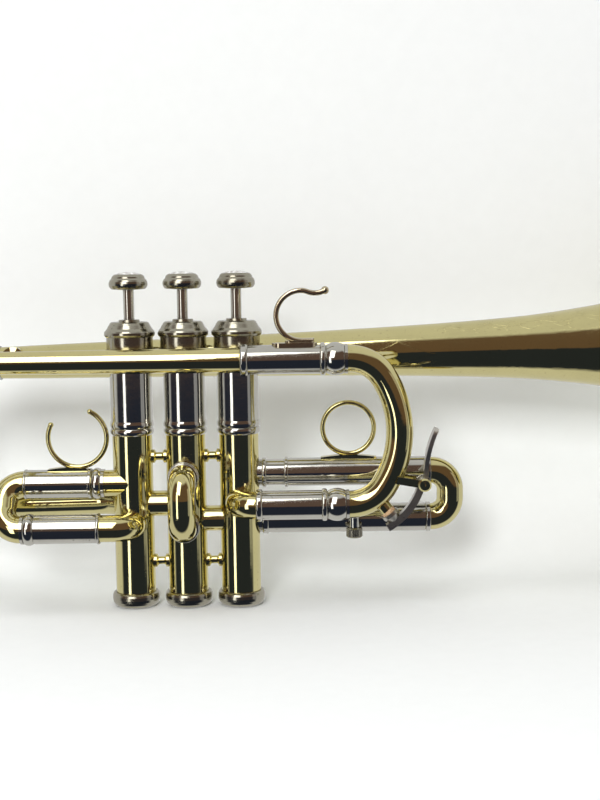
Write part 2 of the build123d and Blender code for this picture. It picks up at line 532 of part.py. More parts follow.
# ---------------------------------------------------------------- pistons, each with its stem, button, felts and spring
PISTON_BOTTOM = -26.0
BARREL_Z = 34.0
BARREL_OD, BARREL_BORE = 15.4, 14.0
PISTON_TOP = 78.5
ROOF_T = 2.0
SLOT_LOW_Z = BARREL_Z + 2.0
slot_high_z = GUIDE_Z + GUIDE_T + PISTON_TRAVEL + 1.0
BUTTON_Z = 101.0
FELT_Z = BUTTON_Z - 0.2
SPRING_R, SPRING_WIRE_R, SPRING_TURNS = 5.6, 0.5, 9
spring_low = GUIDE_Z + GUIDE_T + SPRING_WIRE_R + 0.1
spring_high = PISTON_TOP - ROOF_T - SPRING_WIRE_R - 0.1
for number, (x, ports) in enumerate(zip(VALVE_XS, PORTS), start=1):
    with BuildPart() as piston:
        add(turned((x, 0, 0), UP, (
            (PISTON_BOTTOM, 0), (PISTON_BOTTOM, PISTON_OD / 2), (BARREL_Z, PISTON_OD / 2),
            (BARREL_Z, BARREL_OD / 2), (PISTON_TOP, BARREL_OD / 2), (PISTON_TOP, 0))))
        add(straight_tube((x, 0, SLOT_LOW_Z), UP, PISTON_TOP - ROOF_T - SLOT_LOW_Z, BARREL_BORE, 0),
            mode=Mode.SUBTRACT)
        add(straight_tube((x, 0, PISTON_BOTTOM), UP, 8.0, PISTON_OD - 3.0, 0), mode=Mode.SUBTRACT)
        with BuildSketch(Plane(origin=(x, 0, SLOT_LOW_Z))):
            Rectangle(GUIDE_ARM_W + 2 * CLEARANCE, BARREL_OD + 2)
        extrude(amount=slot_high_z - SLOT_LOW_Z, mode=Mode.SUBTRACT)
        # The open passage joins the two ports that carry the air past this valve when it is up
        air_in, air_out = [port for port in ports if port[1] in (TAIL_Z, CROSSOVER_12_Z, CROSSOVER_23_Z,
                                                                  TUNING_PORT_Z)][:2]
        for offset_y, z, direction in (air_in, air_out):
            add(straight_tube((x, offset_y, z), direction, PISTON_OD, BORE_D, 0), mode=Mode.SUBTRACT)
        # The upper passage lines up with the slide when the valve is down
        add(straight_tube((x, PISTON_OD, PISTON_TRAVEL + 10.0), FRONT, 2 * PISTON_OD, BORE_D - 1.4, 0),
            mode=Mode.SUBTRACT)
    finish(piston, f"piston_{number}")

    with BuildPart() as stem:
        add(turned((x, 0, 0), UP, (
            (PISTON_TOP, 0), (PISTON_TOP, 3.4), (PISTON_TOP + 0.8, 3.4), (PISTON_TOP + 0.8, STEM_D / 2),
            (BUTTON_Z + 2.2, STEM_D / 2), (BUTTON_Z + 2.2, 1.7), (BUTTON_Z + 5.4, 1.7), (BUTTON_Z + 5.4, 0))))
    finish(stem, f"stem_{number}")

    with BuildPart() as button:
        add(turned((x, 0, BUTTON_Z), UP, (
            (0, 5.6), (0, 7.4), (0.3, 8.0), (0.9, 8.5), (1.7, 8.85), (2.6, 8.95), (3.5, 8.8), (4.3, 8.4), (4.8, 7.9),
            (5.1, 7.7), (5.7, 7.5), (6.3, 7.1), (6.7, 6.6), (6.9, 6.2), (6.9, 5.9), (6.0, 5.9), (6.0, 0), (5.5, 0),
            (5.5, 1.75), (2.2, 1.75), (2.2, 5.6))))
    finish(button, f"button_{number}")

    with BuildPart() as button_inlay:
        with BuildSketch(turning_plane((x, 0, BUTTON_Z), UP)):
            with BuildLine():
                Polyline((7.0, 5.8), (6.1, 5.8), (6.1, 0), (8.0, 0))
                ThreePointArc((8.0, 0), (7.74, 3.0), (7.0, 5.8))
            make_face()
        revolve(axis=Axis((x, 0, BUTTON_Z), UP))
    finish(button_inlay, f"button_inlay_{number}")

    with BuildPart() as valve_felts:
        add(straight_tube((x, 0, FELT_Z), UP, 2.2, 10.6, STEM_D + 0.2))
        add(straight_tube((x, 0, PISTON_TOP + 0.9), UP, 2.1, 12.0, STEM_D + 0.2))
    finish(valve_felts, f"valve_felts_{number}")

    with BuildLine() as coil:
        Helix(pitch=(spring_high - spring_low) / SPRING_TURNS, height=spring_high - spring_low,
              radius=SPRING_R, center=(x, 0, spring_low))
    with BuildPart() as valve_spring:
        with BuildSketch(Plane(origin=coil.wire() @ 0, z_dir=coil.wire() % 0)):
            Circle(SPRING_WIRE_R)
        sweep(path=coil.wire(), is_frenet=True)
    finish(valve_spring, f"valve_spring_{number}")

# ---------------------------------------------------------------- tuning slide, moving side
BOW_START_X = 76.0
BULB_START_X = TUNING_MOUTH_X + TUNING_RING_W + CLEARANCE
BULB_LENGTH, BULB_OD = 9.7, 15.0
BOW_CORNER_R, BOW_CORNER_ANGLE = 18.5, 58.0
BOW_JOINT_RUN = 4.0
corner_drop = BOW_CORNER_R - Vector(BOW_CORNER_R, 0).rotate(Axis.Z, BOW_CORNER_ANGLE).X
middle_rise = 2 * Vector(1, 0).rotate(Axis.Z, BOW_CORNER_ANGLE).X
bow_middle_r = (TOP_Z - TUNING_PORT_Z - 2 * corner_drop) / middle_rise
tuning_path = bow_path(
    (BOW_START_X - BOW_JOINT_RUN, LEAD_Y, TOP_Z), RIGHT, DOWN,
    (BOW_JOINT_RUN, (BOW_CORNER_R, BOW_CORNER_ANGLE), (bow_middle_r, 180 - 2 * BOW_CORNER_ANGLE),
     (BOW_CORNER_R, BOW_CORNER_ANGLE), BOW_JOINT_RUN))
with BuildPart() as tuning_bow:
    add(tube_along(tuning_path, TUBE_OD, BORE_D))
finish(tuning_bow, "tuning_bow")

with BuildPart() as tuning_inner_tubes:
    for start_x, z in ((TUNING_UPPER_X + 2.5, TOP_Z), (TUNING_LOWER_X + 3.0, TUNING_PORT_Z)):
        add(straight_tube((start_x, LEAD_Y, z), RIGHT, BOW_START_X - BOW_JOINT_RUN - start_x, TUBE_OD,
                          BORE_D + 0.2))
        add(bulb((BULB_START_X, LEAD_Y, z), RIGHT, BULB_LENGTH, BULB_OD, TUBE_OD))
finish(tuning_inner_tubes, "tuning_inner_tubes")

# ---------------------------------------------------------------- water key on the tuning bow's lower corner
corner = Vector(BOW_START_X, LEAD_Y, TUNING_PORT_Z + BOW_CORNER_R)
HINGE_X, HINGE_Z = 109.5, 11.5
PIN_D = 1.6
BARREL_D, BARREL_HALF_W = 5.4, 4.2
EAR_T = 1.4
NIPPLE_ANGLE = -52.0
NIPPLE_R = BOW_CORNER_R + TUBE_OD / 2
NIPPLE_H, CORK_H, CORK_D = 2.6, 2.4, 6.8
ARM_R, ARM_T, ARM_W = 34.0, 3.2, 5.0
key_plane = Plane(origin=(0, LEAD_Y, 0), x_dir=RIGHT, z_dir=FRONT)
nipple_direction = Vector(1, 0, 0).rotate(Axis.Y, -NIPPLE_ANGLE)
with BuildPart() as bow_filled:
    add(tube_along(tuning_path, TUBE_OD, 0))
with BuildPart() as water_key_bracket:
    for side in (-1, 1):
        ear_y = LEAD_Y + side * (BARREL_HALF_W + 0.2 + EAR_T / 2)
        with BuildSketch(Plane(origin=(0, ear_y, 0), x_dir=RIGHT, z_dir=FRONT)):
            with BuildLine():
                Line((corner.X + 21.0, corner.Z - 7.0), (HINGE_X, HINGE_Z))
            trace(line_width=3.4)
            with Locations((HINGE_X, HINGE_Z)):
                Circle(BARREL_D / 2)
        extrude(amount=EAR_T / 2, both=True)
    add(straight_tube((HINGE_X, LEAD_Y - BARREL_HALF_W - 2.0, HINGE_Z), BACK, 2 * BARREL_HALF_W + 4.4, PIN_D, 0))
    add(straight_tube(corner + nipple_direction * (NIPPLE_R - 2), nipple_direction, NIPPLE_H + 2, 6.4, 3.6))
    add(turned((HINGE_X, LEAD_Y - BARREL_HALF_W - EAR_T - 0.1, HINGE_Z), FRONT, (
        (0, 0), (0, 3.0), (0.9, 3.0), (1.5, 2.3), (1.6, 0))))
    add(bow_filled.part, mode=Mode.SUBTRACT)
finish(water_key_bracket, "water_key_bracket")

# The touch is a curved strip, narrow at the hinge and rounded into a spoon at its tip
TOUCH_TIP_Z = 36.6
TOUCH_NARROW, TOUCH_WIDE = 4.6, 7.8
with BuildPart() as key_touch:
    with BuildSketch(key_plane):
        with BuildLine():
            ThreePointArc((HINGE_X + 1.0, HINGE_Z + 1.0), (111.6, 25.0), (115.5, TOUCH_TIP_Z))
        trace(line_width=1.9)
    extrude(amount=TOUCH_WIDE, both=True)
    with BuildSketch(Plane(origin=(HINGE_X - 10, LEAD_Y, 0), x_dir=BACK, z_dir=RIGHT)):
        with BuildLine():
            FilletPolyline(
                (0, HINGE_Z), (TOUCH_NARROW / 2, HINGE_Z), (TOUCH_NARROW / 2, HINGE_Z + 6.0),
                (TOUCH_WIDE / 2, TOUCH_TIP_Z - 9.0), (TOUCH_WIDE / 2, TOUCH_TIP_Z + 0.9),
                (0, TOUCH_TIP_Z + 0.9), radius=[0.5, 8, 8, 3.4])
            mirror(about=Plane.YZ)
        make_face()
    extrude(amount=30, mode=Mode.INTERSECT)

with BuildPart() as water_key_lever:
    with BuildSketch(key_plane):
        with BuildLine():
            CenterArc((corner.X, corner.Z), ARM_R, -60, 43)
        trace(line_width=ARM_T)
    extrude(amount=ARM_W / 2, both=True)
    add(key_touch.part)
    add(straight_tube((HINGE_X, LEAD_Y - BARREL_HALF_W, HINGE_Z), BACK, 2 * BARREL_HALF_W, BARREL_D, 0))
    cup_start = NIPPLE_R + NIPPLE_H + CORK_H + 0.1
    add(turned(corner + nipple_direction * (cup_start - 1.0), nipple_direction, (
        (0, 0), (0, 4.0), (1.6, 4.0), (4.6, 2.2), (4.6, 0))))
    add(straight_tube(corner + nipple_direction * (cup_start - CORK_H), nipple_direction, CORK_H, CORK_D + 0.1, 0),
        mode=Mode.SUBTRACT)
    add(straight_tube((HINGE_X, LEAD_Y - 10, HINGE_Z), BACK, 20, PIN_D + 2 * RUNNING_GAP, 0), mode=Mode.SUBTRACT)
finish(water_key_lever, "water_key_lever")

with BuildPart() as water_key_cork:
    add(straight_tube(corner + nipple_direction * (cup_start - CORK_H), nipple_direction, CORK_H, CORK_D, 0))
finish(water_key_cork, "water_key_cork")

# ---------------------------------------------------------------- first slide, moving side
FIRST_BOW_X = -75.0
FIRST_BOW_R = 9.0
FIRST_BOW_RUN = 4.0
first_joint_x = FIRST_BOW_X + FIRST_BOW_RUN
upper_foot = Vector(first_joint_x, FIRST_UPPER_Y, FIRST_UPPER_Z)
lower_foot = Vector(first_joint_x, FIRST_LEG_Y, FIRST_LOWER_Z)
first_path = flat_bow(upper_foot, LEFT, lower_foot, FIRST_BOW_R, FIRST_BOW_RUN)
with BuildPart() as first_bow:
    add(tube_along(first_path, TUBE_OD, BORE_D))
finish(first_bow, "first_bow")

with BuildPart() as first_moving_tubes:
    add(straight_tube((FIRST_MOUTH_X, FIRST_UPPER_Y, FIRST_UPPER_Z), LEFT, FIRST_MOUTH_X - FIRST_BOW_X - 1.2,
                      SLIDE_OD, SLIDE_BORE))
    add(ring((FIRST_MOUTH_X, FIRST_UPPER_Y, FIRST_UPPER_Z), LEFT, 1.5, SLIM_RING_OD, SLIDE_OD))
    add(ring((FIRST_BOW_X + 1.2, FIRST_UPPER_Y, FIRST_UPPER_Z), LEFT, 1.2, SLIM_RING_OD - 0.2, TUBE_OD))
    add(straight_tube((-45.0, FIRST_LEG_Y, FIRST_LOWER_Z), LEFT, -45.0 - first_joint_x, TUBE_OD, BORE_D + 0.2))
    add(bulb((FIRST_OUTER_END_X - CLEARANCE, FIRST_LEG_Y, FIRST_LOWER_Z), LEFT, 6.0, RING_OD - 0.2, TUBE_OD))
finish(first_moving_tubes, "first_moving_tubes")

LOOP_WIRE_D = 2.3
SADDLE_X, SADDLE_Z, SADDLE_R = -50.0, 32.7, 13.6
SADDLE_OPEN_FROM, SADDLE_OPEN_TO = 63.0, 153.0
with BuildPart() as thumb_saddle:
    with BuildLine(Plane(origin=(SADDLE_X, FIRST_UPPER_Y, SADDLE_Z), x_dir=RIGHT, z_dir=FRONT)) as saddle_arc:
        CenterArc((0, 0), SADDLE_R, SADDLE_OPEN_TO, 360 - SADDLE_OPEN_TO + SADDLE_OPEN_FROM)
    add(tube_along(saddle_arc.wire(), LOOP_WIRE_D, 0))
    with Locations(saddle_arc.wire() @ 0, saddle_arc.wire() @ 1):
        Sphere(LOOP_WIRE_D / 2 + 0.15)
    add(eye_foot(-64.0, FIRST_MOUTH_X - 1.6, FIRST_UPPER_Y, FIRST_UPPER_Z, 1.2, 4.4))
finish(thumb_saddle, "thumb_saddle")

with BuildPart() as first_pull_knob:
    knob_axis = Vector(-0.5, -0.866, 0)
    bow_front = first_path @ 0.5
    add(turned(bow_front, knob_axis, (
        (5.0, 0), (5.0, 3.0), (7.0, 2.6), (8.2, 1.5), (10.2, 1.5), (11.2, 2.6), (12.6, 3.2), (14.2, 2.7),
        (15.0, 1.4), (15.2, 0))))
    add(tube_along(first_path, TUBE_OD, 0), mode=Mode.SUBTRACT)
finish(first_pull_knob, "first_pull_knob")

# ---------------------------------------------------------------- second slide, moving side
SECOND_BOW_Y = -20.0
SECOND_BOW_R = 8.2
SECOND_INNER_START_Y = -10.8
second_joint_y = SECOND_BOW_Y + 1.0
ferrule_y = SECOND_MOUTH_Y - SECOND_RING_W - CLEARANCE
with BuildPart() as second_bow:
    add(tube_along(flat_bow((0, second_joint_y, SECOND_UPPER_Z), FRONT, (0, second_joint_y, SECOND_LOWER_Z),
                            SECOND_BOW_R, 1.0), TUBE_OD, BORE_D))
finish(second_bow, "second_bow")

with BuildPart() as second_moving_tubes:
    for z in (SECOND_UPPER_Z, SECOND_LOWER_Z):
        add(straight_tube((0, SECOND_INNER_START_Y, z), FRONT, SECOND_INNER_START_Y - second_joint_y,
                          TUBE_OD, BORE_D + 0.2))
        add(ring((0, ferrule_y, z), FRONT, 1.6, 13.8, TUBE_OD))
finish(second_moving_tubes, "second_moving_tubes")

# ---------------------------------------------------------------- third slide, moving side
THIRD_MOUTH_X = 46.0
THIRD_BOW_X = 114.4
THIRD_BOW_R = 9.0
THIRD_BOW_RUN = 4.0
third_joint_x = THIRD_BOW_X - THIRD_BOW_RUN
with BuildPart() as third_bow:
    add(tube_along(flat_bow((third_joint_x, THIRD_Y, THIRD_UPPER_Z), RIGHT,
                            (third_joint_x, THIRD_Y, THIRD_LOWER_Z), THIRD_BOW_R, THIRD_BOW_RUN), TUBE_OD, BORE_D))
finish(third_bow, "third_bow")

with BuildPart() as third_moving_tubes:
    add(straight_tube((THIRD_MOUTH_X, THIRD_Y, THIRD_UPPER_Z), RIGHT, 66.4, SLIDE_OD, SLIDE_BORE))
    add(ring((THIRD_MOUTH_X, THIRD_Y, THIRD_UPPER_Z), RIGHT, 1.5, SLIM_RING_OD, SLIDE_OD))
    add(ring((THIRD_MOUTH_X + 66.4, THIRD_Y, THIRD_UPPER_Z), RIGHT, 1.8, 13.8, TUBE_OD))
    add(straight_tube((41.0, THIRD_Y, THIRD_LOWER_Z), RIGHT, third_joint_x - 41.0, TUBE_OD, BORE_D + 0.2))
    add(ring((THIRD_OUTER_END_X + CLEARANCE, THIRD_Y, THIRD_LOWER_Z), RIGHT, 2.2, 13.8, TUBE_OD))
finish(third_moving_tubes, "third_moving_tubes")

RING_X, RING_Z, RING_MEAN_R = 76.0, 34.9, 12.0
with BuildPart() as third_finger_ring:
    with BuildSketch(Plane(origin=(RING_X, THIRD_Y, RING_Z))):
        with Locations((RING_MEAN_R, 0)):
            Circle(LOOP_WIRE_D / 2)
    revolve(axis=Axis((RING_X, THIRD_Y, RING_Z), BACK))
    add(eye_foot(RING_X - 13, RING_X + 13, THIRD_Y, THIRD_UPPER_Z, 1.3, 4.4))
finish(third_finger_ring, "third_finger_ring")

# ---------------------------------------------------------------- lock screw on the third slide
SCREW_HEAD_D, SCREW_HEAD_H = 7.6, 4.6
KNURLS = 24
screw_top = LOCK_BOSS_LOW_Z - 0.1
with BuildPart() as lock_screw:
    add(turned((LOCK_SCREW_X, LOCK_SCREW_Y, screw_top), DOWN, (
        (-1.9, 0), (-1.9, LOCK_SHANK_D / 2), (0, LOCK_SHANK_D / 2), (0, SCREW_HEAD_D / 2 - 0.6),
        (0.6, SCREW_HEAD_D / 2), (SCREW_HEAD_H - 0.6, SCREW_HEAD_D / 2),
        (SCREW_HEAD_H, SCREW_HEAD_D / 2 - 0.6), (SCREW_HEAD_H + 0.4, 1.5), (SCREW_HEAD_H + 0.4, 0))))
    with BuildSketch(Plane(origin=(LOCK_SCREW_X, LOCK_SCREW_Y, screw_top))):
        with PolarLocations(SCREW_HEAD_D / 2 + 0.15, KNURLS):
            Circle(0.35)
    extrude(amount=-SCREW_HEAD_H, mode=Mode.SUBTRACT)
finish(lock_screw, "lock_screw")

# ---------------------------------------------------------------- water key spring: two coils on the hinge
KEY_SPRING_R, KEY_SPRING_WIRE_R = 3.2, 0.2
with BuildLine() as key_coil:
    Helix(pitch=0.5, height=1.0, radius=KEY_SPRING_R, center=(HINGE_X, LEAD_Y + 2.9, HINGE_Z), direction=BACK)
with BuildPart() as water_key_spring:
    with BuildSketch(Plane(origin=key_coil.wire() @ 0, z_dir=key_coil.wire() % 0)):
        Circle(KEY_SPRING_WIRE_R)
    sweep(path=key_coil.wire(), is_frenet=True)
finish(water_key_spring, "water_key_spring")
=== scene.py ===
import json
import math
import random

import bmesh
import bpy
from mathutils import Matrix, Vector
from mathutils.bvhtree import BVHTree


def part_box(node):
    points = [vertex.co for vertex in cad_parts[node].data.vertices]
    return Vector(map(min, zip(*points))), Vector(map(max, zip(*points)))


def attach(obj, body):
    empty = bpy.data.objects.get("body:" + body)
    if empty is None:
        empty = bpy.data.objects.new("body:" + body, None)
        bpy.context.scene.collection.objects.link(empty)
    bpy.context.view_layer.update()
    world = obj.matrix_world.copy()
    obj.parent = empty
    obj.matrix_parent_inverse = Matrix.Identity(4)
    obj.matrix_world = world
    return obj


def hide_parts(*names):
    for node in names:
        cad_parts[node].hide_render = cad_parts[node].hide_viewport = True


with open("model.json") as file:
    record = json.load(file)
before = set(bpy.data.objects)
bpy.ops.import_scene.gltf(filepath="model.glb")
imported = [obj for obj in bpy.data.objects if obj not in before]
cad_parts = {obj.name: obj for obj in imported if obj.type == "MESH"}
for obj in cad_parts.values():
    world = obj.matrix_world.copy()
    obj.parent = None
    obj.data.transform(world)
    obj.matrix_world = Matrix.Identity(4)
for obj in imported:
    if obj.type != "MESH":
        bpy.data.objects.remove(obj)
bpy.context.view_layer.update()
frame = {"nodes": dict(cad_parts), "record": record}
nodes = frame["nodes"]

# ---------------------------------------------------------------- camera

AZIMUTH = math.radians(0.216)
ELEVATION = math.radians(5.794)
ROLL = math.radians(-0.855)
CAMERA_DISTANCE = 0.620
CAMERA_TARGET = Vector((0.05369, 0.0, 0.04855))
LENS_MM = 59.97


def make_camera():
    view = Vector((-math.sin(AZIMUTH) * math.cos(ELEVATION),
                   math.cos(AZIMUTH) * math.cos(ELEVATION),
                   -math.sin(ELEVATION)))
    side = view.cross(Vector((0, 0, 1))).normalized()
    up = side.cross(view)
    right = math.cos(ROLL) * side + math.sin(ROLL) * up
    top = math.cos(ROLL) * up - math.sin(ROLL) * side
    data = bpy.data.cameras.new("camera")
    data.lens = LENS_MM
    data.sensor_width = 36
    data.clip_start = 0.01
    data.clip_end = 20
    camera = bpy.data.objects.new("camera", data)
    bpy.context.scene.collection.objects.link(camera)
    rows = [[right[i], top[i], -view[i]] for i in range(3)]
    camera.matrix_world = Matrix.Translation(CAMERA_TARGET - view * CAMERA_DISTANCE) @ Matrix(rows).to_4x4()
    bpy.context.scene.camera = camera


# ---------------------------------------------------------------- node helpers

def add_node(tree, kind, values=None, **settings):
    node = tree.nodes.new(kind)
    for name, value in settings.items():
        setattr(node, name, value)
    for socket, value in (values or {}).items():
        if isinstance(value, bpy.types.NodeSocket):
            tree.links.new(value, node.inputs[socket])
        else:
            node.inputs[socket].default_value = value
    return node


def ramp(tree, factor, stops):
    node = add_node(tree, "ShaderNodeValToRGB", {0: factor})
    elements = node.color_ramp.elements
    while len(elements) < len(stops):
        elements.new(0.5)
    for element, (place, color) in zip(elements, stops):
        element.position = place
        element.color = (*color, 1)
    return node.outputs[0]


def spread(tree, value, low, high, to_low, to_high):
    node = add_node(tree, "ShaderNodeMapRange", {
        "Value": value, "From Min": low, "From Max": high, "To Min": to_low, "To Max": to_high})
    return node.outputs["Result"]


def blend_color(tree, factor, first, second, mode="MIX"):
    node = add_node(tree, "ShaderNodeMix", data_type="RGBA", blend_type=mode)
    for socket, value in (("Factor", factor), ("A", first), ("B", second)):
        slot = next(s for s in node.inputs if s.name == socket and s.enabled)
        if isinstance(value, bpy.types.NodeSocket):
            tree.links.new(value, slot)
        else:
            slot.default_value = value
    return next(s for s in node.outputs if s.enabled)


def math_node(tree, operation, first, second):
    return add_node(tree, "ShaderNodeMath", {0: first, 1: second}, operation=operation).outputs[0]


def new_material(name):
    material = bpy.data.materials.new(name)
    material.use_nodes = True
    return material, material.node_tree, material.node_tree.nodes["Principled BSDF"]


def object_point(tree, scale=(1, 1, 1)):
    coord = add_node(tree, "ShaderNodeTexCoord")
    return add_node(tree, "ShaderNodeMapping", {"Vector": coord.outputs["Object"], "Scale": scale}).outputs[0]


def noise(tree, point, scale, detail=2.0, roughness=0.5):
    return add_node(tree, "ShaderNodeTexNoise", {
        "Vector": point, "Scale": scale, "Detail": detail, "Roughness": roughness}).outputs["Fac"]


# ---------------------------------------------------------------- stage

FLOOR_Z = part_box("bottom_valve_caps")[0].z - 0.0001
STAGE_HALF = 1.3
WALL_Y, WALL_H = 0.098, 0.9
CORNER_R = 0.05
FLOOR_DROP = 0.0006
STAGE_CENTRE = Vector((0.05, 0.0, 0.04))
SEEN_LOW, SEEN_HIGH = (0.89, 0.895, 0.892), (1.0, 1.0, 1.0)


def make_world():
    """A pale surround for the camera, and a room with a dark front for the metal to reflect."""
    world = bpy.data.worlds.new("studio")
    bpy.context.scene.world = world
    world.use_nodes = True
    tree = world.node_tree
    tree.nodes.clear()
    coord = add_node(tree, "ShaderNodeTexCoord")
    split = add_node(tree, "ShaderNodeSeparateXYZ", {0: coord.outputs["Generated"]})
    height = spread(tree, split.outputs["Z"], -1, 1, 0, 1)
    seen = add_node(tree, "ShaderNodeBackground", {
        "Color": ramp(tree, height, ((0.50, SEEN_LOW), (0.60, SEEN_HIGH)))})
    behind = spread(tree, split.outputs["Y"], -0.32, -0.14, 0, 1)
    above = spread(tree, split.outputs["Z"], 0.72, 0.83, 0, 1)
    below = spread(tree, split.outputs["Z"], -0.04, -0.09, 0, 1)
    front = blend_color(tree, below, (0.125, 0.080, 0.060, 1), (0.020, 0.025, 0.040, 1))
    front = blend_color(tree, above, front, (0.60, 0.60, 0.60, 1))
    room = add_node(tree, "ShaderNodeBackground", {
        "Color": blend_color(tree, behind, front, (0.62, 0.62, 0.62, 1))})
    path = add_node(tree, "ShaderNodeLightPath")
    mix = add_node(tree, "ShaderNodeMixShader", {
        0: path.outputs["Is Camera Ray"], 1: room.outputs[0], 2: seen.outputs[0]})
    add_node(tree, "ShaderNodeOutputWorld", {"Surface": mix.outputs[0]})


def softbox(name, azimuth, elevation, distance, width, height, radiance, glossy=True, diffuse=True):
    data = bpy.data.lights.new(name, "AREA")
    data.shape = "RECTANGLE"
    data.size, data.size_y = width, height
    data.energy = radiance * math.pi * width * height
    light = bpy.data.objects.new(name, data)
    bpy.context.scene.collection.objects.link(light)
    a, e = math.radians(azimuth), math.radians(elevation)
    away = Vector((math.sin(a) * math.cos(e), -math.cos(a) * math.cos(e), math.sin(e)))
    light.location = STAGE_CENTRE + distance * away
    light.rotation_mode = "QUATERNION"
    light.rotation_quaternion = (-away).to_track_quat("-Z", "Y")
    light.visible_glossy = glossy
    light.visible_diffuse = diffuse


def stage_mesh(name, outline, half_x):
    mesh = bpy.data.meshes.new(name)
    points = [(x, y, z) for y, z in outline for x in (-half_x, half_x)]
    faces = [(2 * i, 2 * i + 1, 2 * i + 3, 2 * i + 2) for i in range(len(outline) - 1)]
    mesh.from_pydata(points, [], faces)
    piece = bpy.data.objects.new(name, mesh)
    piece.location = (STAGE_CENTRE.x, 0, FLOOR_Z)
    bpy.context.scene.collection.objects.link(piece)
    return piece


def make_backdrop():
    """A pale floor that curves up into a wall, which views from behind see through, and a plain floor below."""
    outline = [(-STAGE_HALF, 0.0)]
    for step in range(9):
        turn = math.radians(11.25 * step)
        outline.append((WALL_Y - CORNER_R + CORNER_R * math.sin(turn), CORNER_R - CORNER_R * math.cos(turn)))
    outline.append((WALL_Y, WALL_H))
    backdrop = stage_mesh("backdrop", outline, STAGE_HALF)
    material, tree, shader = new_material("pale_backdrop")
    shader.inputs["Roughness"].default_value = 0.9
    shader.inputs["Specular IOR Level"].default_value = 0.1
    coord = add_node(tree, "ShaderNodeTexCoord")
    grain = noise(tree, coord.outputs["Object"], 140, 3)
    tree.links.new(ramp(tree, grain, ((0.3, (0.845, 0.868, 0.866)), (0.7, (0.857, 0.880, 0.878)))),
                   shader.inputs["Base Color"])
    length = add_node(tree, "ShaderNodeVectorMath", {0: coord.outputs["Object"]}, operation="LENGTH")
    edge = spread(tree, length.outputs["Value"], 0.30, 1.0, 1, 0)
    path = add_node(tree, "ShaderNodeLightPath")
    side = add_node(tree, "ShaderNodeNewGeometry")
    hidden = math_node(tree, "MULTIPLY", side.outputs["Backfacing"], path.outputs["Is Camera Ray"])
    tree.links.new(math_node(tree, "SUBTRACT", edge, hidden), shader.inputs["Alpha"])
    for face in backdrop.data.polygons:
        face.use_smooth = True
    floor = stage_mesh("floor", [(-STAGE_HALF, -FLOOR_DROP), (STAGE_HALF, -FLOOR_DROP)], STAGE_HALF)
    for piece in (backdrop, floor):
        piece.data.materials.append(material)
        piece.visible_glossy = False
        piece.visible_shadow = False


make_camera()
make_world()
softbox("window", -21, 36, 1.2, 0.58, 1.05, 3.0, diffuse=False)
softbox("left_strip", -33, -2, 1.2, 0.26, 0.9, 2.2)
softbox("right_strip", 65, 5, 1.2, 0.3, 0.9, 0.30)
softbox("front_key", -11, 21, 1.4, 0.34, 0.34, 31.0, glossy=False)
softbox("overhead", -10, 70, 1.5, 1.2, 1.2, 2.0, glossy=False)
make_backdrop()
bpy.context.scene.view_settings.view_transform = "Standard"

# ---------------------------------------------------------------- materials

BRASS = (0.80, 0.725, 0.36)
NICKEL = (0.66, 0.645, 0.575)


def scaled(color, factor):
    return tuple(min(1.0, channel * factor) for channel in color)


def metal(name, color, worn, grime_and_shade, rough, spots=0.0, line_scale=None, line_depth=0.0, coat=0.0):
    """Handled metal: cloudy tone, hairlines, small grime spots, and painted shade that darkens the joints and
    hollows by occlusion.
    """
    material, tree, shader = new_material(name)
    shader.inputs["Metallic"].default_value = 1.0
    if coat:
        shader.inputs["Coat Weight"].default_value = coat
        shader.inputs["Coat Roughness"].default_value = 0.05
        shader.inputs["Coat Tint"].default_value = (1.0, 0.97, 0.88, 1)
    point = object_point(tree)
    cloud = noise(tree, point, 42, 5, 0.6)
    tone = ramp(tree, cloud, ((0.30, worn), (0.55, color), (0.85, scaled(color, 1.05))))
    speck = noise(tree, point, 900, 2)
    flecks = spread(tree, speck, 0.66, 0.74, 0, spots)
    tone = blend_color(tree, flecks, tone, (*grime_and_shade, 1))
    # Painted shade: the base colour is darkened towards the dark colour where ambient occlusion finds nearby
    # surfaces, in joints and hollows; roughness also rises there.
    hollow = add_node(tree, "ShaderNodeAmbientOcclusion", {"Distance": 0.0028}, samples=6, only_local=False)
    occlusion_shade = spread(tree, hollow.outputs["AO"], 0.35, 0.85, 0.55, 0)
    tone = blend_color(tree, occlusion_shade, tone, (*grime_and_shade, 1))
    tree.links.new(tone, shader.inputs["Base Color"])
    hair = noise(tree, object_point(tree, (60, 900, 900)), 1.0, 3)
    cross = noise(tree, object_point(tree, (900, 300, 70)), 1.0, 3)
    scuff = math_node(tree, "MULTIPLY",
                      spread(tree, hair, 0.55, 0.75, 0, 1), spread(tree, cross, 0.4, 0.7, 0.3, 1))
    gloss = spread(tree, cloud, 0.3, 0.75, rough[1], rough[0])
    gloss = math_node(tree, "ADD", gloss, math_node(tree, "MULTIPLY", scuff, 0.05))
    gloss = math_node(tree, "ADD", gloss, math_node(tree, "MULTIPLY", occlusion_shade, 0.35))
    tree.links.new(gloss, shader.inputs["Roughness"])
    relief = add_node(tree, "ShaderNodeBump", {
        "Height": math_node(tree, "SUBTRACT", noise(tree, point, 110, 3), math_node(tree, "MULTIPLY", scuff, 0.10)),
        "Strength": 0.10, "Distance": 0.0004})
    normal = relief.outputs[0]
    if line_scale:
        lines = noise(tree, object_point(tree, line_scale), 1.0, 2)
        normal = add_node(tree, "ShaderNodeBump", {
            "Height": lines, "Strength": line_depth, "Distance": 0.0001, "Normal": normal}).outputs[0]
    tree.links.new(normal, shader.inputs["Normal"])
    return material


